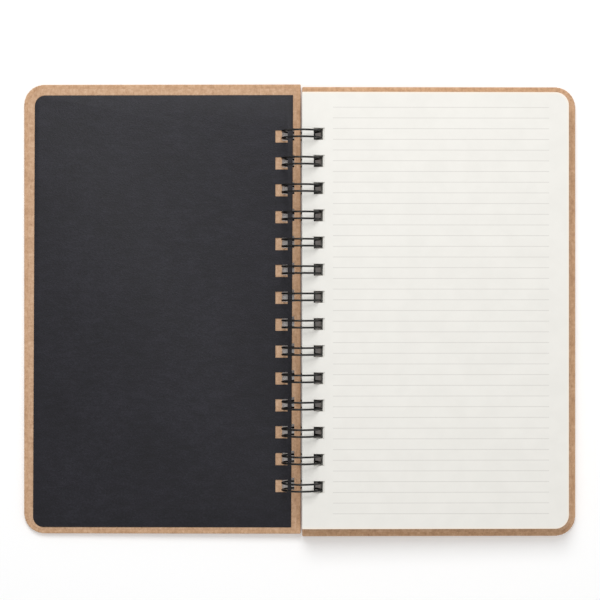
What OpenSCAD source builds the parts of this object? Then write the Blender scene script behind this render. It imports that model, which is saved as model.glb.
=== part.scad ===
// Wire-bound notebook, lying open: two kraft-covered board covers, two black card
// endsheets and a block of ruled leaves, all hung on one closed twin-loop wire.
// Every sheet turns about the middle of the rings, so each one is drawn by its offset
// from that axis and its reach out from it. Y runs along the spine, head at +Y.

/* [Covers] */
// Width of a cover, from its spine edge to its fore edge
cover_w = 131; // [110:1:160]
// How much shorter the back cover is, from the spine to the fore edge
back_trim = 1.7; // [0:0.1:2]
// Height of a cover, from head to tail
cover_h = 212.4; // [180:0.1:260]
// Thickness of the grey board inside a cover
board_t = 1.9; // [1.2:0.1:3]
// Thickness of the kraft paper that covers the board
kraft_t = 0.15; // [0.1:0.01:0.3]
// Radius of a cover's two fore corners
cover_corner_r = 9.4; // [4:0.1:14]
// Width of the kraft turned in over each edge of the board
turn_in = 12; // [8:0.5:20]
// Inset of the kraft lining from the cover's edges
lining_inset = 2; // [1:0.1:2.5]
// Distance between the two covers' spine edges
spine_gap = 0.9; // [0.8:0.1:3]
// Distance that one cover has slid along the rings past the other
cover_shift = 1.2; // [0:0.1:1.4]

/* [Black card endsheets] */
// Width of an endsheet, from its spine edge to its fore edge
card_w = 122.2; // [100:0.1:126]
// Thickness of an endsheet
card_t = 0.3; // [0.2:0.05:0.5]
// Radius of an endsheet's two fore corners
card_corner_r = 5; // [2:0.1:8]
// Strip of card between the spine edge and the holes
card_margin = 2.1; // [2:0.1:4]

/* [Leaves] */
// Width of a leaf, from its spine edge to its fore edge
leaf_w = 124.7; // [100:0.1:126]
// Height of the leaves and the endsheets
leaf_h = 204.2; // [150:0.1:210]
// Thickness of one leaf
leaf_t = 0.1; // [0.07:0.01:0.15]
// Air between one sheet and the next
leaf_air = 0.015; // [0.01:0.001:0.03]
// Radius of a leaf's two fore corners
leaf_corner_r = 6.3; // [2:0.1:9]
// Strip of paper between the spine edge and the holes
leaf_margin = 4.6; // [3:0.1:5]
// Leaves on top of the block that turn one by one
single_leaves = 8; // [4:1:9]
// Packets of leaves below them, each turned as one
packets = 6; // [2:1:8]
// Leaves in one packet
packet_leaves = 12; // [6:1:16]

/* [Wire binding] */
// Distance from one double ring to the next
ring_pitch = 12.7; // [9:0.1:16]
// Diameter of the coated wire
wire_d = 0.9; // [0.7:0.05:1.1]
// Side of the square holes punched through every sheet
hole_size = 5.8; // [5.2:0.1:7]
// Strip of cover between the spine edge and the holes
cover_margin = 3; // [2.6:0.1:4]
// Least distance from the first hole's middle to the end of a leaf
end_margin = 16; // [8:0.5:24]
// Radius of the bends where a ring joins the straight spine wire
bend_r = 1; // [0.8:0.1:1.2]

/* [Fits] */
// Room between the wire and the edge of a hole that it bears on
wire_room = 0.15; // [0.1:0.01:0.3]
// Room between the wire and the side of a hole, past the covers' slide
side_room = 0.25; // [0.15:0.01:0.5]
// Room between the outer wire and the far edge of a leaf's hole
leaf_room = 1.3; // [0.6:0.1:1.6]
// Room left in the closed book between the top leaf and its endsheet
head_room = 0.8; // [0.4:0.1:3]
// Film of glue between the board and the kraft paper
glue_t = 0.02; // [0.01:0.01:0.05]

/* [Hidden] */
$fn = 64;
kraft_colour = "#C99B70";
lining_colour = "#D2A67F";
board_colour = "#9A948A";
card_colour = "#333237";
leaf_colour = "#EFEDE8";
wire_colour = "#151517";
cut_over = 1;
solid_break = 0.01;

// The book's build-up, measured out from the middle of the rings
leaf_step = leaf_t + leaf_air;
block_leaves = packets * packet_leaves + single_leaves;
block_t = block_leaves * leaf_step;
card_far = (block_t + head_room) / 2 + leaf_air + card_t;
cover_near = card_far + leaf_air;
cover_far = cover_near + board_t + 3 * (kraft_t + glue_t);

// Reach of each sheet's spine edge and of the near edge of its holes
cover_x = spine_gap / 2;
cover_hole_x = cover_x + cover_margin;
ring_r = sqrt(pow(cover_far, 2) + pow(cover_hole_x, 2)) + wire_room + wire_d / 2;
bore_r = ring_r - wire_d / 2 - wire_room;
card_hole_x = sqrt(pow(bore_r, 2) - pow(card_far, 2));
card_x = card_hole_x - card_margin;
leaf_hole_x = ring_r + wire_d / 2 + leaf_room - hole_size;
leaf_x = leaf_hole_x - leaf_margin;

// Rings along the spine
ring_count = floor((leaf_h - 2 * end_margin) / ring_pitch) + 1;
pair_gap = hole_size - wire_d - cover_shift - 2 * side_room;

// The rings' seam lies under the covers, where no sheet passes. Its angle has a short
// decimal sine and cosine, so that the tips meet the cut ends of the rings exactly.
seam_sin = 0.352;
seam_cos = 0.936;
seam_angle = atan2(seam_sin, seam_cos);
seam_cut = 2 * ring_r;

// The rings stand on the table, and each cover dips until its fore edge does too
axis_z = ring_r + wire_d / 2;
cover_reach = cover_x + cover_w;
dip = asin(axis_z / sqrt(pow(cover_far, 2) + pow(cover_reach, 2))) - atan(cover_far / cover_reach);

function ring_y(i) = (i - (ring_count - 1) / 2) * ring_pitch;
function leaf_offset(k) = card_far - card_t - leaf_air - k * leaf_step;
function two_digits(i) = i < 10 ? str("0", i) : str(i);
function packet_name(p) = str("packet_", p);
function leaf_name(i) = str("leaf_", two_digits(i));

// Sets a sheet drawn at the right of the ring axis into its place on the table
module right_side() {
    translate([0, 0, axis_z]) rotate([0, dip, 0]) children();
}

module left_side() {
    mirror([1, 0, 0]) right_side() children();
}

// Outline of a sheet: square at the spine, round at the two fore corners
module sheet_outline(x0, w, h, r) {
    translate([x0, -h / 2]) square([w - r, h]);
    translate([x0, r - h / 2]) square([w, h - 2 * r]);
    for (side = [-1, 1]) {
        translate([x0 + w - r, side * (h / 2 - r)]) circle(r);
    }
}

module punched(hole_x) {
    difference() {
        children();
        for (i = [0:ring_count - 1]) {
            translate([hole_x, ring_y(i) - hole_size / 2]) square(hole_size);
        }
    }
}

// Flat layer whose far face lies at the given offset below the ring axis
module layer(far, t) {
    translate([0, 0, -far]) linear_extrude(t) children();
}

// Outline of a cover, drawn in by an inset, trimmed at the fore edge and slid along the rings
module cover_outline(inset, slide, trim) {
    punched(cover_hole_x) translate([0, slide]) sheet_outline(
        cover_x + inset, cover_w - trim - 2 * inset, cover_h - 2 * inset, cover_corner_r - inset
    );
}

// Kraft paper round the outside, over the edges and turned in on the inner face
module wrap(slide, trim) {
    skin = kraft_t + glue_t;
    wrap_t = board_t + 2 * skin;
    color(kraft_colour) difference() {
        layer(cover_far, wrap_t) cover_outline(0, slide, trim);
        layer(cover_far - kraft_t, wrap_t - 2 * kraft_t) translate([0, slide]) sheet_outline(
            cover_x + kraft_t, cover_w - trim - 2 * kraft_t, cover_h - 2 * kraft_t, cover_corner_r - kraft_t
        );
        layer(cover_far - wrap_t + cut_over, 2 * cut_over) translate([0, slide]) sheet_outline(
            cover_x + turn_in, cover_w - trim - 2 * turn_in, cover_h - 2 * turn_in, glue_t
        );
    }
}

module board(slide, trim) {
    skin = kraft_t + glue_t;
    color(board_colour) layer(cover_far - skin, board_t) cover_outline(skin, slide, trim);
}

// Kraft sheet over the turned-in edges, pressed down onto the board inside them
module lining(slide, trim) {
    skin = kraft_t + glue_t;
    field = turn_in + glue_t;
    color(lining_colour) {
        layer(cover_near + kraft_t, kraft_t) cover_outline(lining_inset, slide, trim);
        layer(cover_near + kraft_t + skin, skin) translate([0, slide]) sheet_outline(
            cover_x + field, cover_w - trim - 2 * field, cover_h - 2 * field, glue_t
        );
    }
}

module endsheet() {
    color(card_colour) layer(card_far, card_t) punched(card_hole_x) sheet_outline(
        card_x, card_w, leaf_h, card_corner_r
    );
}

// Leaf number k of the block, counted up from the back cover
module leaf(k) {
    color(leaf_colour) layer(leaf_offset(k), leaf_t) punched(leaf_hole_x) sheet_outline(
        leaf_x, leaf_w, leaf_h, leaf_corner_r
    );
}

// Packet 1 is the uppermost, so packet number `packets` lies on the back endsheet
module packet(p) {
    for (k = [0:packet_leaves - 1]) {
        leaf((packets - p) * packet_leaves + k);
    }
}

// Leaf 1 is the uppermost leaf of the block
module single_leaf(i) {
    leaf(block_leaves - i);
}

// Round wire bent about a centre, in the plane of X and Y
module bent_wire(r, start, turn) {
    rotate(start) rotate_extrude(angle = turn) translate([r, 0]) circle(d = wire_d);
}

// Carries a shape drawn where the ring touches the table back to the rings' open ends
module at_seam() {
    rotate([0, seam_angle, 0]) at_table() children();
}

module at_table() {
    translate([0, 0, -ring_r]) children();
}

// One ring of wire, open from the table back to the seam
module open_ring() {
    rotate([90, 0, 0]) difference() {
        rotate_extrude() translate([ring_r, 0]) circle(d = wire_d);
        linear_extrude(2 * wire_d, center = true) polygon([[0, 0], [0, -seam_cos], -[seam_sin, seam_cos]] * seam_cut);
    }
}

// One double ring: two rings side by side, joined by a round tip at the seam
module double_ring() {
    for (side = [-1, 1]) {
        translate([0, side * pair_gap / 2, 0]) open_ring();
        translate([0, side * (pair_gap / 2 + bend_r), 0]) at_table() bent_wire(bend_r, side > 0 ? 180 : 90, 90);
    }
    at_seam() bent_wire(pair_gap / 2, -90, 180);
}

// Straight wire along the table from one double ring to the next. The wire is one piece on
// the real book, and here each stretch is its own solid with a hair's breadth at its ends.
module spine_wire() {
    start = pair_gap / 2 + bend_r + solid_break;
    at_table() translate([-bend_r, start, 0]) rotate([-90, 0, 0]) cylinder(d = wire_d, h = ring_pitch - 2 * start);
}

module wire_binding() {
    color(wire_colour) translate([0, 0, axis_z]) {
        for (i = [0:ring_count - 1]) {
            translate([0, ring_y(i), 0]) double_ring();
        }
        for (i = [0:ring_count - 2]) {
            translate([0, ring_y(i), 0]) spine_wire();
        }
    }
}

wire_binding();
left_side() wrap(cover_shift / 2, 0);  // front_wrap
left_side() board(cover_shift / 2, 0);  // front_board
left_side() lining(cover_shift / 2, 0);  // front_lining
left_side() endsheet();  // front_endsheet
right_side() wrap(-cover_shift / 2, back_trim);  // back_wrap
right_side() board(-cover_shift / 2, back_trim);  // back_board
right_side() lining(-cover_shift / 2, back_trim);  // back_lining
right_side() endsheet();  // back_endsheet
for (p = [1:packets]) {
    right_side() packet(p);
}
for (i = [1:single_leaves]) {
    right_side() single_leaf(i);
}
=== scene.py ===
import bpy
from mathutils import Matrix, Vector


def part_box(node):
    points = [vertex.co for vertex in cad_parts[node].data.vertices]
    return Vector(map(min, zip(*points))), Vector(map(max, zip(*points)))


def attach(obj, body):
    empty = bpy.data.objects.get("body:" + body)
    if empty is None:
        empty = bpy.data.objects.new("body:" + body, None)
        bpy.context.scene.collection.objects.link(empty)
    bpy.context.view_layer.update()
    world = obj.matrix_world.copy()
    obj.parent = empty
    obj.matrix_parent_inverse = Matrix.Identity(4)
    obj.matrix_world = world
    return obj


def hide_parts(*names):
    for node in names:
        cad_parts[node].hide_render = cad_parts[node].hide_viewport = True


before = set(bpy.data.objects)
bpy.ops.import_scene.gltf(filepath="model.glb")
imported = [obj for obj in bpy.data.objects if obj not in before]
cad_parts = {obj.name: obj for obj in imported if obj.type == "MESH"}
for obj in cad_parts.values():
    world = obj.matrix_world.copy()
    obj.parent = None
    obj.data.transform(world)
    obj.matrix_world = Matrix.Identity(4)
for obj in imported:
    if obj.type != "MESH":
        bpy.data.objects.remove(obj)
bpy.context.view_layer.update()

import math
import random

import bmesh
import bpy
from mathutils import Matrix, Vector

random.seed(41)
MM = 0.001
WELD = 2e-5 * MM
SHARP = 1.2
CUT_TOLERANCE = 1e-5

# Covers, in millimetres from the middle of the rings
SPINE_GAP = 0.9
COVER_W, COVER_H = 131.0, 212.4
COVER_CORNER = 9.4
COVER_SLIDE = 0.6
BACK_TRIM = 1.7
BOARD_T = 1.9
KRAFT_T = 0.15
GLUE_T = 0.02
SKIN_T = KRAFT_T + GLUE_T
TURN_IN = 12.0
LINING_INSET = 2.0

# Black sheets and ruled leaves
CARD_W, CARD_T, CARD_CORNER, CARD_MARGIN = 122.2, 0.3, 5.0, 2.1
LEAF_W, LEAF_H, LEAF_T, LEAF_CORNER, LEAF_MARGIN = 124.7, 204.2, 0.1, 6.3, 4.6
LEAF_AIR = 0.015
CARD_SLIDE = -0.4
SINGLE_LEAVES, PACKETS, PACKET_LEAVES = 8, 6, 12

# Wire and the holes that it passes through
WIRE_D = 0.9
BEND_R = 1.0
RING_PITCH = 12.7
RING_COUNT = 14
HOLE = 5.8
COVER_MARGIN = 3.0
WIRE_ROOM, SIDE_ROOM, LEAF_ROOM, HEAD_ROOM = 0.15, 0.25, 1.3, 0.8
SEAM_SIN, SEAM_COS = 0.352, 0.936

# Rounding of the edges: radius in millimetres, and steps
WRAP_EDGE = (0.5, 5)
BOARD_EDGE = (0.34, 3)
CARD_EDGE = (0.07, 2)
COVER_STEPS, BOARD_STEPS, CARD_STEPS, LEAF_STEPS = 44, 16, 12, 10

# Folds in the wrap at the covers' round corners: rise, dent and reach in millimetres, widths in degrees.
# The board's corners are rounder than the wrap's by BOARD_ROUNDER, to stay inside the dents.
PLEAT_RISE, PLEAT_DENT, PLEAT_REACH, PLEAT_FADE, PLEAT_DEPTH = 0.2, 0.26, 5, 2.4, 1.6
PLEAT_START, PLEAT_END, PLEAT_COUNT, PLEAT_WIDTHS = 2.0, 88, 14, (7, 13)
PLEAT_LINES = (1.2, 1.3)
LINING_LINE = 2.4
BOARD_ROUNDER = 1.2
PLEATS = {
    (end, cover): [random.uniform(*PLEAT_WIDTHS) for _ in range(PLEAT_COUNT)]
    for end in (-1, 1) for cover in ("front", "back")}

# How far each leaf lies out of true across and along the block, and how far its punched holes stray:
# the top leaf has the first of the strays, and the lowest packet the last
LEAF_OUT = ((-0.12, 0.06), (-0.1, 0.1))
LEAF_STRAYS = [
    (0.0, 0.0), (-0.8, 0.1), (0.75, -0.1), (-0.5, -0.15), (0.4, 0.12), (-0.65, 0.0), (0.6, 0.05),
    (-1.6, -0.05)]

# Printed rules. A real rule is about 0.15 mm wide; it is drawn wider so that it shows.
RULE_T, RULE_STEP, RULE_LAST = 0.28, 5.0, 95.0
RULE_FROM, RULE_TO = 14.7, 115.9

# Steps of the wire round its section, a bend, a ring and the closed tip
WIRE_SIDES, BEND_STEPS, RING_STEPS, TIP_STEPS = 14, 5, 56, 10

# The book's build-up, from the middle of the rings outwards
LEAF_STEP = LEAF_T + LEAF_AIR
BLOCK_LEAVES = PACKETS * PACKET_LEAVES + SINGLE_LEAVES
CARD_FAR = (BLOCK_LEAVES * LEAF_STEP + HEAD_ROOM) / 2 + LEAF_AIR + CARD_T
COVER_NEAR = CARD_FAR + LEAF_AIR
COVER_FAR = COVER_NEAR + BOARD_T + 3 * SKIN_T
COVER_X = SPINE_GAP / 2
COVER_HOLE_X = COVER_X + COVER_MARGIN
RING_R = math.hypot(COVER_FAR, COVER_HOLE_X) + WIRE_ROOM + WIRE_D / 2
CARD_HOLE_X = math.sqrt((RING_R - WIRE_D / 2 - WIRE_ROOM) ** 2 - CARD_FAR ** 2)
CARD_X = CARD_HOLE_X - CARD_MARGIN
LEAF_HOLE_X = RING_R + WIRE_D / 2 + LEAF_ROOM - HOLE
LEAF_X = LEAF_HOLE_X - LEAF_MARGIN
PAIR_HALF = (HOLE - WIRE_D - 2 * COVER_SLIDE - 2 * SIDE_ROOM) / 2

# The rings stand on the table, and each cover dips until its fore edge does too
AXIS_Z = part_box("wire_binding")[1].z / 2
REACH = COVER_X + COVER_W
DIP = math.asin((RING_R + WIRE_D / 2) / math.hypot(COVER_FAR, REACH)) - math.atan(COVER_FAR / REACH)
RIGHT = Matrix.Translation((0, 0, AXIS_Z)) @ Matrix.Rotation(DIP, 4, "Y") @ Matrix.Diagonal((MM, MM, MM, 1))
LEFT = Matrix.Diagonal((-1, 1, 1, 1)) @ RIGHT


def ring_y(i):
    return (i - (RING_COUNT - 1) / 2) * RING_PITCH


def linear(hex_colour):
    """Linear colour, with alpha, of an sRGB hex colour."""
    parts = [int(hex_colour[i:i + 2], 16) / 255 for i in (1, 3, 5)]
    return [c / 12.92 if c <= 0.04045 else ((c + 0.055) / 1.055) ** 2.4 for c in parts] + [1]


# ---- Materials ----

def node(tree, kind, settings=None, out=None, **inputs):
    """Adds a shader node with its settings and its inputs, each a value or a link. Returns the node,
    or the output that `out` names or numbers. An input called _2 is the third socket."""
    made = tree.nodes.new(kind)
    for key, value in (settings or {}).items():
        if key == "stops":
            ramp = made.color_ramp.elements
            while len(ramp) < len(value):
                ramp.new(1)
            for stop, (position, colour) in zip(ramp, value):
                stop.position = position
                stop.color = colour
        else:
            setattr(made, key, value)
    for key, value in inputs.items():
        socket = made.inputs[int(key[1:])] if key[0] == "_" else made.inputs[key.replace("_", " ")]
        if isinstance(value, bpy.types.NodeSocket):
            tree.links.new(value, socket)
        else:
            socket.default_value = value
    return made if out is None else made.outputs[out]


def start_material(name, **shader):
    """A material with one Principled shader; returns it, its tree, its shader and the object coordinates."""
    material = bpy.data.materials.new(name)
    material.use_nodes = True
    tree = material.node_tree
    tree.nodes.clear()
    surface = node(tree, "ShaderNodeBsdfPrincipled", **shader)
    node(tree, "ShaderNodeOutputMaterial", Surface=surface.outputs["BSDF"])
    place = node(tree, "ShaderNodeTexCoord", out="Object")
    return material, tree, surface, place


def per_mm(x, y, z):
    """Mapping scale for a grain of x by y by z millimetres."""
    return (1 / (x * MM), 1 / (y * MM), 1 / (z * MM))


def kraft(name, pale, mid, dark, seed):
    """Brown kraft paper, unbleached and machine-finished: warm, dry and matt, with long fibres,
    darker flecks of bark and a cloudy tone where the pulp lay thicker. Real fibres are about 0.03 mm
    wide; they are drawn about 1 mm wide so that they show."""
    material, tree, surface, place = start_material(name, Roughness=0.78, IOR=1.47)
    grain = {}
    for layer, size, detail, roughness in (
            ("pulp", (5, 5, 5), 5, 0.7),
            ("fibres", (1.1, 2.6, 1.1), 5, 0.7),
            ("cross_fibres", (2.2, 1.1, 1.1), 5, 0.7),
            ("bark", (0.9, 1.9, 0.9), 1, 0.5)):
        seed += 1.7
        mapped = node(
            tree, "ShaderNodeMapping", out=0, Vector=place, Scale=per_mm(*size),
            Location=(seed, -seed, 2 * seed))
        grain[layer] = node(
            tree, "ShaderNodeTexNoise", out=0, Vector=mapped, Scale=1.0, Detail=detail, Roughness=roughness)
    felted = node(
        tree, "ShaderNodeMix", {"data_type": "FLOAT"}, out=0,
        _0=0.45, _2=grain["fibres"], _3=grain["cross_fibres"])
    tone = node(tree, "ShaderNodeMix", {"data_type": "FLOAT"}, out=0, _0=0.72, _2=grain["pulp"], _3=felted)
    base = node(tree, "ShaderNodeValToRGB", {"stops": [
        (0.39, linear(dark)), (0.5, linear(mid)), (0.61, linear(pale))]}, out=0, Fac=tone)
    flecks = node(
        tree, "ShaderNodeMapRange", out=0, Value=grain["bark"], From_Min=0.68, From_Max=0.78, To_Max=0.35)
    colour = node(
        tree, "ShaderNodeMix", {"data_type": "RGBA"}, out=2, _0=flecks, _6=base, _7=linear("#7F5635"))
    tree.links.new(colour, surface.inputs["Base Color"])
    rise = node(tree, "ShaderNodeBump", out=0, Height=felted, Distance=0.04 * MM, Strength=0.7)
    tree.links.new(rise, surface.inputs["Normal"])
    return material


def grey_board():
    """Grey board, recycled and pressed: dull and crumbly, with pale and dark shreds at its cut edge."""
    material, tree, surface, place = start_material("grey_board", Roughness=0.9, IOR=1.45)
    mapped = node(tree, "ShaderNodeMapping", out=0, Vector=place, Scale=per_mm(0.7, 0.7, 0.2))
    shreds = node(tree, "ShaderNodeTexNoise", out=0, Vector=mapped, Scale=1.0, Detail=4.0, Roughness=0.55)
    base = node(tree, "ShaderNodeValToRGB", {"stops": [
        (0.35, linear("#6F6A62")), (0.5, linear("#958F86")), (0.66, linear("#B5AFA5"))]}, out=0, Fac=shreds)
    tree.links.new(base, surface.inputs["Base Color"])
    rise = node(tree, "ShaderNodeBump", out=0, Height=shreds, Distance=0.08 * MM)
    tree.links.new(rise, surface.inputs["Normal"])
    return material


def black_card():
    """Black card, dyed through and felt-marked: deep charcoal with a fine tooth that takes a
    low grey sheen from the light. A real tooth is about 0.2 mm; it is drawn coarser so that it shows."""
    material, tree, surface, place = start_material(
        "black_card", Roughness=0.55, IOR=1.5, Specular_IOR_Level=0.33)
    grain = {}
    for layer, size, detail, roughness, shift in (
            ("tooth", (0.9, 0.7, 0.7), 4, 0.7, 0.0),
            ("felt", (7.0, 3.2, 3.2), 3, 0.6, 4.0),
            ("dye", (30, 30, 30), 2, 0.55, 7.0)):
        mapped = node(
            tree, "ShaderNodeMapping", out=0, Vector=place, Scale=per_mm(*size), Location=(shift, shift, 0))
        grain[layer] = node(
            tree, "ShaderNodeTexNoise", out=0, Vector=mapped, Scale=1.0, Detail=detail, Roughness=roughness)
    soft = node(
        tree, "ShaderNodeMix", {"data_type": "FLOAT"}, out=0, _0=0.4, _2=grain["felt"], _3=grain["dye"])
    tone = node(tree, "ShaderNodeMix", {"data_type": "FLOAT"}, out=0, _0=0.45, _2=grain["tooth"], _3=soft)
    base = node(tree, "ShaderNodeValToRGB", {"stops": [
        (0.38, linear("#151419")), (0.5, linear("#1C1B22")), (0.62, linear("#26252D"))]}, out=0, Fac=tone)
    tree.links.new(base, surface.inputs["Base Color"])
    height = node(
        tree, "ShaderNodeMix", {"data_type": "FLOAT"}, out=0, _0=0.4, _2=grain["tooth"], _3=grain["felt"])
    rise = node(tree, "ShaderNodeBump", out=0, Height=height, Distance=0.2 * MM)
    tree.links.new(rise, surface.inputs["Normal"])
    return material


def ruled_paper():
    """Uncoated writing paper, ivory and calendered: smooth, matt and warm white, with faint
    offset-printed grey rules on both sides, and a painted highlight: a cream band along the cut edges that
    stands in for light catching the edge of the block."""
    material, tree, surface, place = start_material("ruled_paper", Roughness=0.7, IOR=1.5)
    grain = {}
    for layer, size in (("formation", 9.0), ("fibres", 0.5)):
        mapped = node(tree, "ShaderNodeMapping", out=0, Vector=place, Scale=per_mm(size, size, size))
        grain[layer] = node(
            tree, "ShaderNodeTexNoise", out=0, Vector=mapped, Scale=1.0, Detail=3.0, Roughness=0.55)
    sheet = node(tree, "ShaderNodeValToRGB", {"stops": [
        (0.35, linear("#EEECE6")), (0.65, linear("#F1EFE9"))]}, out=0, Fac=grain["formation"])
    flat = node(tree, "ShaderNodeMapping", out=0, Vector=place, Scale=(1 / MM, 1 / MM, 0))
    axes = node(tree, "ShaderNodeSeparateXYZ", Vector=flat).outputs
    # The ink is where a point is near a rule, and within the ruled field
    nearest = node(
        tree, "ShaderNodeMath", {"operation": "WRAP"}, out=0,
        _0=axes["Y"], _1=RULE_STEP / 2, _2=-RULE_STEP / 2)
    ink = node(
        tree, "ShaderNodeMath", {"operation": "MULTIPLY_ADD"}, out=0, _0=grain["fibres"], _1=0.5, _2=0.6)
    for value, middle, reach in (
            (nearest, 0.0, RULE_T / 2),
            (axes["Y"], 0.0, RULE_LAST + 1),
            (axes["X"], (RULE_FROM + RULE_TO) / 2, (RULE_TO - RULE_FROM) / 2)):
        within = node(tree, "ShaderNodeMath", {"operation": "COMPARE"}, out=0, _0=value, _1=middle, _2=reach)
        ink = node(tree, "ShaderNodeMath", {"operation": "MULTIPLY"}, out=0, _0=ink, _1=within)
    # How far a point is past the corner's centre, which reaches the corner's radius at the cut edge
    folded = node(tree, "ShaderNodeVectorMath", {"operation": "ABSOLUTE"}, out=0, _0=flat)
    past = node(
        tree, "ShaderNodeVectorMath", {"operation": "SUBTRACT"}, out=0, _0=folded,
        _1=(LEAF_X + LEAF_W - LEAF_CORNER, LEAF_H / 2 - LEAF_CORNER, 0))
    beyond = node(tree, "ShaderNodeVectorMath", {"operation": "MAXIMUM"}, out=0, _0=past, _1=(0, 0, 0))
    radius = node(tree, "ShaderNodeVectorMath", {"operation": "LENGTH"}, out="Value", _0=beyond)
    # Painted highlight: a cream band, from about 1.1 mm to 0.2 mm in from the fore and end edges, stands in
    # for light catching the edge of the block
    rim = node(
        tree, "ShaderNodeMapRange", out=0, Value=radius,
        From_Min=LEAF_CORNER - 1.1, From_Max=LEAF_CORNER - 0.2, To_Max=0.7)
    sheet_with_painted_highlight = node(tree, "ShaderNodeMix", {"data_type": "RGBA"}, out=2, _0=rim, _6=sheet, _7=linear("#FBF1E2"))
    printed = node(
        tree, "ShaderNodeMix", {"data_type": "RGBA"}, out=2, _0=ink, _6=sheet_with_painted_highlight, _7=linear("#D6D3CE"))
    tree.links.new(printed, surface.inputs["Base Color"])
    rise = node(tree, "ShaderNodeBump", out=0, Height=grain["fibres"], Distance=0.02 * MM, Strength=0.5)
    tree.links.new(rise, surface.inputs["Normal"])
    return material


def coated_wire():
    """Steel wire in black nylon: glossy and jet black, with a slightly uneven dipped coat."""
    material, tree, surface, place = start_material(
        "coated_wire", Roughness=0.3, IOR=1.53, Specular_IOR_Level=0.35)
    mapped = node(tree, "ShaderNodeMapping", out=0, Vector=place, Scale=per_mm(1.6, 1.6, 1.6))
    dip = node(tree, "ShaderNodeTexNoise", out=0, Vector=mapped, Scale=1.0, Detail=2.0, Roughness=0.55)
    base = node(tree, "ShaderNodeValToRGB", {"stops": [
        (0.4, linear("#060606")), (0.62, linear("#100E0D"))]}, out=0, Fac=dip)
    tree.links.new(base, surface.inputs["Base Color"])
    rise = node(tree, "ShaderNodeBump", out=0, Height=dip, Distance=0.03 * MM, Strength=0.5)
    tree.links.new(rise, surface.inputs["Normal"])
    return material


WRAP_KRAFT = kraft("kraft_wrap", "#D6B291", "#C69E7B", "#B18A69", 3.0)
LINING_KRAFT = kraft("kraft_lining", "#D8B596", "#C8A281", "#B38D6E", 11.0)
BOARD = grey_board()
CARD = black_card()
PAPER = ruled_paper()
WIRE = coated_wire()


# ---- Shapes ----

def finish_piece(bm, name, place, material, body, nodes):
    """Turns a bmesh drawn in millimetres into a placed piece that rides its body."""
    bm.transform(place)
    bmesh.ops.remove_doubles(bm, verts=bm.verts, dist=WELD)
    bmesh.ops.recalc_face_normals(bm, faces=bm.faces)
    mesh = bpy.data.meshes.new(name)
    bm.to_mesh(mesh)
    bm.free()
    mesh.materials.append(material)
    piece = bpy.data.objects.new(name, mesh)
    bpy.context.scene.collection.objects.link(piece)
    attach(piece, body)
    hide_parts(*nodes)
    return piece


def smooth(piece, angle=32):
    """Rounds the shading over gentle bends and keeps the cut edges crisp."""
    mesh = piece.data
    mesh.polygons.foreach_set("use_smooth", [True] * len(mesh.polygons))
    limit = math.radians(angle)
    bm = bmesh.new()
    bm.from_mesh(mesh)
    for e in bm.edges:
        e.smooth = len(e.link_faces) == 2 and e.calc_face_angle(0) < limit
    bm.to_mesh(mesh)
    bm.free()


def outline(bm, x0, width, height, fore_r, steps, skew=0.0):
    """One flat face with round corners at the fore edge; `skew` leans its sides out of square."""
    low, high = -height / 2, height / 2
    spine = [bm.verts.new((x0 - math.copysign(skew, y), y, 0)) for y in (high, low)]
    fore = [bm.verts.new((x0 + width - math.copysign(skew, y), y, 0)) for y in (low, high)]
    bm.faces.new(spine + fore)
    bmesh.ops.bevel(
        bm, geom=fore, affect="VERTICES", offset=fore_r, offset_type="OFFSET",
        segments=steps, profile=0.5, material=-1)


def cut(bm, x=None, y=None, faces=None):
    """Cuts the sheet, or the faces given, along a line of constant x or y."""
    point, normal = ((x, 0, 0), (1, 0, 0)) if y is None else ((0, y, 0), (0, 1, 0))
    chosen = list(bm.faces) if faces is None else faces
    edges = dict.fromkeys(e for f in chosen for e in f.edges)
    corners = dict.fromkeys(v for f in chosen for v in f.verts)
    bmesh.ops.bisect_plane(
        bm, geom=[*chosen, *edges, *corners], dist=CUT_TOLERANCE, plane_co=point, plane_no=normal)


def punch(bm, hole_x, slide=0.0):
    """Cuts the column of square holes for the rings."""
    cut(bm, x=hole_x)
    cut(bm, x=hole_x + HOLE)
    for i in range(RING_COUNT):
        for side in (-1, 1):
            column = [f for f in bm.faces if hole_x < f.calc_center_bounds().x < hole_x + HOLE]
            cut(bm, y=ring_y(i) + slide + side * HOLE / 2, faces=column)

    def in_hole(face):
        centre = face.calc_center_bounds()
        nearest = min(abs(centre.y - slide - ring_y(i)) for i in range(RING_COUNT))
        return hole_x < centre.x < hole_x + HOLE and nearest < HOLE / 2

    bmesh.ops.delete(bm, geom=[f for f in bm.faces if in_hole(f)], context="FACES")


def thicken(bm, far, thickness):
    """Lowers the flat sheet to `far` below the ring axis and raises it to its thickness."""
    bmesh.ops.translate(bm, verts=bm.verts, vec=(0, 0, -far))
    raised = bmesh.ops.extrude_face_region(bm, geom=list(bm.faces))["geom"]
    lifted = [g for g in raised if isinstance(g, bmesh.types.BMVert)]
    bmesh.ops.translate(bm, verts=lifted, vec=(0, 0, thickness))
    bmesh.ops.recalc_face_normals(bm, faces=bm.faces)


def on_rim(edge, x0, height, slide=0.0):
    """True for the sharp edges round the outside of a thickened sheet, not those of its holes."""
    if len(edge.link_faces) != 2 or edge.calc_face_angle(0) < SHARP:
        return False
    middle = (edge.verts[0].co + edge.verts[1].co) / 2
    return not in_hole_strip(middle, x0, 12, height, slide)


def in_hole_strip(point, x0, reach, height, slide):
    """True near the column of holes: from 1 mm to `reach` from the spine edge, away from the ends."""
    return x0 + 1 < point.x < x0 + reach and abs(point.y - slide) < height / 2 - 3


def soften_rim(bm, radius, steps, *where):
    """Rounds the outside edges; `where` is the sheet's spine edge, height and slide."""
    rim = [e for e in bm.edges if on_rim(e, *where)]
    bmesh.ops.bevel(
        bm, geom=rim, affect="EDGES", offset=radius, offset_type="OFFSET", segments=steps,
        profile=0.5, material=-1, clamp_overlap=True)


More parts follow.
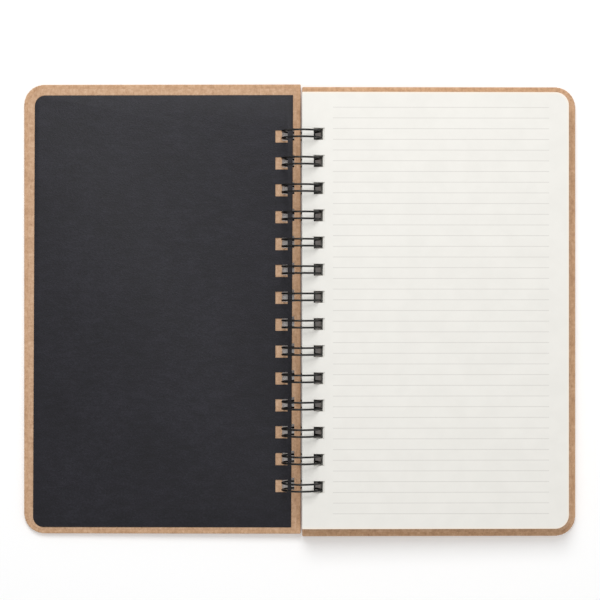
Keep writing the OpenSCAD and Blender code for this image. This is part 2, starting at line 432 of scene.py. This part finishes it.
def pleat(bm, cover, slide, trim, top, dent, rise):
    """Gathers the paper at the round corners into small folds, each rising to its end, which dent
    the cover's edge inwards near its top."""
    centre_x = COVER_X + COVER_W - trim - COVER_CORNER
    for v in bm.verts:
        y = v.co.y - slide
        end = 1 if y > 0 else -1
        out = Vector((v.co.x - centre_x, abs(y) - (COVER_H / 2 - COVER_CORNER)))
        if out.x < -0.01 or out.y < -0.01 or out.length < PLEAT_REACH:
            continue
        angle = math.degrees(math.atan2(out.y, out.x))
        start = PLEAT_START
        share = 0.0
        for width in PLEATS[end, cover]:
            if start <= angle < start + width and start + width < PLEAT_END:
                share = (angle - start) / width
            start += width
        fade = min(1, (out.length - PLEAT_REACH) / PLEAT_FADE)
        level = max(0.0, min(1.0, 1 - (top - v.co.z) / PLEAT_DEPTH))
        step = out.normalized() * (-dent * share * fade * level)
        v.co.x += step.x
        v.co.y += step.y * end
        v.co.z += rise * (share - 0.5) * fade * (1 if level > 0.8 else 0)


def cover_shape(inset, slide, trim, steps, rounder=0.0):
    """A cover's flat outline, drawn in by `inset` all round."""
    bm = bmesh.new()
    corner = COVER_CORNER - inset + rounder
    outline(bm, COVER_X + inset, COVER_W - trim - 2 * inset, COVER_H - 2 * inset, corner, steps)
    bmesh.ops.translate(bm, verts=bm.verts, vec=(0, slide, 0))
    return bm


def make_cover(cover, place, slide, trim):
    """A case cover: board, kraft wrap turned in over its edges, and kraft lining over the turn-in."""
    body = cover + "_cover"
    where = (COVER_X, COVER_H, slide)
    wrap_t = BOARD_T + 2 * SKIN_T
    top = wrap_t - COVER_FAR

    # The wrap is one sheet of paper: a tray with its rim turned in over the board
    bm = cover_shape(0, slide, trim, COVER_STEPS)
    inner = list(bm.faces)
    for line in PLEAT_LINES:
        rim = bmesh.ops.inset_region(bm, faces=inner, thickness=line, use_boundary=True, use_even_offset=True)
        inner = [f for f in bm.faces if f not in rim["faces"]]
    x_fold = (COVER_X + TURN_IN, COVER_X + COVER_W - trim - TURN_IN)
    y_fold = (slide - COVER_H / 2 + TURN_IN, slide + COVER_H / 2 - TURN_IN)
    for x in x_fold:
        cut(bm, x=x)
    for y in y_fold:
        cut(bm, y=y)
    punch(bm, COVER_HOLE_X, slide)
    thicken(bm, COVER_FAR, wrap_t)
    bm.normal_update()

    def not_paper(face):
        centre = face.calc_center_bounds()
        if abs(face.normal.z) > 0.5:
            within = x_fold[0] < centre.x < x_fold[1] and y_fold[0] < centre.y < y_fold[1]
            return within and centre.z > top - 0.01
        return in_hole_strip(centre, COVER_X, 10, COVER_H, slide)

    bmesh.ops.delete(bm, geom=[f for f in bm.faces if not_paper(f)], context="FACES")
    soften_rim(bm, *WRAP_EDGE, *where)
    pleat(bm, cover, slide, trim, top, PLEAT_DENT, PLEAT_RISE)
    wrap = finish_piece(bm, cover + "_kraft_wrap", place, WRAP_KRAFT, body, [cover + "_wrap"])
    paper = wrap.modifiers.new("paper", "SOLIDIFY")
    paper.thickness = KRAFT_T * MM
    paper.offset = -1
    smooth(wrap)

    # The board inside shows only in the walls of the holes
    bm = cover_shape(SKIN_T, slide, trim, BOARD_STEPS, BOARD_ROUNDER)
    punch(bm, COVER_HOLE_X, slide)
    thicken(bm, COVER_FAR - SKIN_T, BOARD_T)
    soften_rim(bm, *BOARD_EDGE, *where)
    board = finish_piece(bm, cover + "_grey_board", place, BOARD, body, [cover + "_board"])
    smooth(board)

    # The lining lies over the turned-in edges and takes their folds
    bm = cover_shape(LINING_INSET, slide, trim, COVER_STEPS)
    bmesh.ops.inset_region(
        bm, faces=list(bm.faces), thickness=LINING_LINE, use_boundary=True, use_even_offset=True)
    punch(bm, COVER_HOLE_X, slide)
    thicken(bm, COVER_NEAR + KRAFT_T, KRAFT_T)
    pleat(bm, cover, slide, trim, top, 0.0, PLEAT_RISE)
    lining = finish_piece(
        bm, cover + "_kraft_lining", place, LINING_KRAFT, body, [cover + "_lining"])
    smooth(lining)


def make_card(cover, place, skew, short):
    """A loose black sheet, cut a hair out of square: `skew` leans its sides and `short` narrows it."""
    bm = bmesh.new()
    outline(bm, CARD_X, CARD_W - short, LEAF_H, CARD_CORNER, CARD_STEPS, skew)
    bmesh.ops.translate(bm, verts=bm.verts, vec=(0, CARD_SLIDE, 0))
    punch(bm, CARD_HOLE_X, CARD_SLIDE)
    thicken(bm, CARD_FAR, CARD_T)
    soften_rim(bm, *CARD_EDGE, CARD_X, LEAF_H)
    sheet = finish_piece(
        bm, cover + "_black_sheet", place, CARD, cover + "_sheet", [cover + "_endsheet"])
    smooth(sheet)


def leaf_template(hole_stray, slide_stray):
    """One leaf, whose column of holes was punched a little off its place."""
    bm = bmesh.new()
    outline(bm, LEAF_X, LEAF_W, LEAF_H, LEAF_CORNER, LEAF_STEPS)
    punch(bm, LEAF_HOLE_X + hole_stray, slide_stray)
    thicken(bm, 0, LEAF_T)
    mesh = bpy.data.meshes.new("leaf_template")
    bm.to_mesh(mesh)
    bm.free()
    return mesh


def make_leaves(name, numbers, body, cad_node):
    """Leaves of the block, each knocked up not quite true with the next. The top leaf was punched
    true, and the lowest packet well towards the spine."""
    bm = bmesh.new()
    for k in numbers:
        before = len(bm.verts)
        chosen = random.choice(LEAVES[:-1])
        if k == BLOCK_LEAVES - 1:
            chosen = LEAVES[0]
        elif k < PACKET_LEAVES:
            chosen = LEAVES[-1]
        bm.from_mesh(chosen)
        bm.verts.ensure_lookup_table()
        offset = CARD_FAR - CARD_T - LEAF_AIR - k * LEAF_STEP
        out = [random.uniform(*span) for span in LEAF_OUT]
        bmesh.ops.translate(bm, verts=bm.verts[before:], vec=(*out, -offset))
    return finish_piece(bm, name, RIGHT, PAPER, body, [cad_node])


def make_wire():
    """The binding wire: one continuous strand of twin loops, bent round the spine."""
    bm = bmesh.new()
    first = ring_y(0) - PAIR_HALF - BEND_R
    profile = bmesh.ops.create_circle(
        bm, segments=WIRE_SIDES, radius=WIRE_D / 2,
        matrix=Matrix.Translation((-BEND_R, first, -RING_R)) @ Matrix.Rotation(math.pi / 2, 4, "X"))["verts"]
    front = profile + list(dict.fromkeys(e for v in profile for e in v.link_edges))

    def edges(geometry):
        return [g for g in geometry if isinstance(g, bmesh.types.BMEdge)]

    start_edges = edges(front)

    def sweep(centre, axis, angle, steps):
        nonlocal front
        front = bmesh.ops.spin(
            bm, geom=front, cent=centre, axis=axis, dvec=(0, 0, 0), angle=angle, steps=steps,
            use_merge=False, use_normal_flip=False, use_duplicate=False)["geom_last"]

    turn = 2 * math.pi - math.atan2(SEAM_SIN, SEAM_COS)
    for i in range(RING_COUNT):
        y = ring_y(i)
        sweep((0, y - PAIR_HALF - BEND_R, -RING_R), (0, 0, -1), math.pi / 2, BEND_STEPS)
        sweep((0, y, 0), (0, -1, 0), turn, RING_STEPS)
        sweep((-SEAM_SIN * RING_R, y, -SEAM_COS * RING_R), (SEAM_SIN, 0, SEAM_COS), math.pi, TIP_STEPS)
        sweep((0, y, 0), (0, 1, 0), turn, RING_STEPS)
        sweep((0, y + PAIR_HALF + BEND_R, -RING_R), (0, 0, -1), math.pi / 2, BEND_STEPS)
        if i < RING_COUNT - 1:
            stretch = bmesh.ops.extrude_edge_only(bm, edges=edges(front))["geom"]
            moved = [g for g in stretch if isinstance(g, bmesh.types.BMVert)]
            bmesh.ops.translate(bm, verts=moved, vec=(0, RING_PITCH - 2 * (PAIR_HALF + BEND_R), 0))
            front = moved + [e for e in edges(stretch) if all(v in moved for v in e.verts)]
    bmesh.ops.holes_fill(bm, edges=start_edges + edges(front), sides=WIRE_SIDES)
    place = Matrix.Translation((0, 0, AXIS_Z)) @ Matrix.Diagonal((MM, MM, MM, 1))
    wire = finish_piece(bm, "twin_loop_wire", place, WIRE, "binding", ["wire_binding"])
    smooth(wire, 60)


make_wire()
for cover, place, slide, trim, skew, short in (
        ("front", LEFT, COVER_SLIDE, 0.0, 0.45, 0.0),
        ("back", RIGHT, -COVER_SLIDE, BACK_TRIM, -0.2, 2.2)):
    make_cover(cover, place, slide, trim)
    make_card(cover, place, skew, short)
LEAVES = [leaf_template(x, y) for x, y in LEAF_STRAYS]
for p in range(1, PACKETS + 1):
    low = (PACKETS - p) * PACKET_LEAVES
    make_leaves(f"ruled_packet_{p}", range(low, low + PACKET_LEAVES), f"packet_{p}", f"packet_{p}")
for i in range(1, SINGLE_LEAVES + 1):
    make_leaves(f"ruled_leaf_{i:02d}", [BLOCK_LEAVES - i], f"leaf_{i:02d}", f"leaf_{i:02d}")


# ---- Studio ----

def studio():
    """A pale table, even air, two soft lights and a camera straight above."""
    scene = bpy.context.scene
    scene.view_settings.view_transform = "Standard"
    world = bpy.data.worlds.new("studio_air")
    world.use_nodes = True
    sky = world.node_tree.nodes["Background"]
    sky.inputs["Color"].default_value = (1.0, 1.0, 1.0, 1)
    sky.inputs["Strength"].default_value = 0.56
    scene.world = world

    bm = bmesh.new()
    bmesh.ops.create_grid(bm, x_segments=8, y_segments=8, size=3.0)
    bmesh.ops.translate(bm, verts=bm.verts, vec=(0, 0, -0.00002))
    mesh = bpy.data.meshes.new("table")
    bm.to_mesh(mesh)
    bm.free()
    mesh.materials.append(start_material(
        "table_laminate", Roughness=0.9, Base_Color=linear("#FDFDFD"),
        Emission_Color=(1, 1, 1, 1), Emission_Strength=0.09)[0])
    table = bpy.data.objects.new("table", mesh)
    scene.collection.objects.link(table)

    for name, spot, size, watts in (
            ("window_soft", (-0.1, 0.62, 0.78), 0.5, 5.1),
            ("fill_soft", (0.7, -0.3, 1.3), 1.2, 2.0)):
        lamp = bpy.data.lights.new(name, "AREA")
        lamp.shape = "SQUARE"
        lamp.size = size
        lamp.energy = watts
        holder = bpy.data.objects.new(name, lamp)
        holder.location = spot
        holder.rotation_euler = (-Vector(spot)).to_track_quat("-Z", "Y").to_euler()
        scene.collection.objects.link(holder)

    lens = bpy.data.cameras.new("camera")
    lens.lens = 107.3
    lens.sensor_width = 36
    camera = bpy.data.objects.new("camera", lens)
    camera.location = (-0.0007, 0.0049, 0.849)
    scene.collection.objects.link(camera)
    scene.camera = camera


studio()
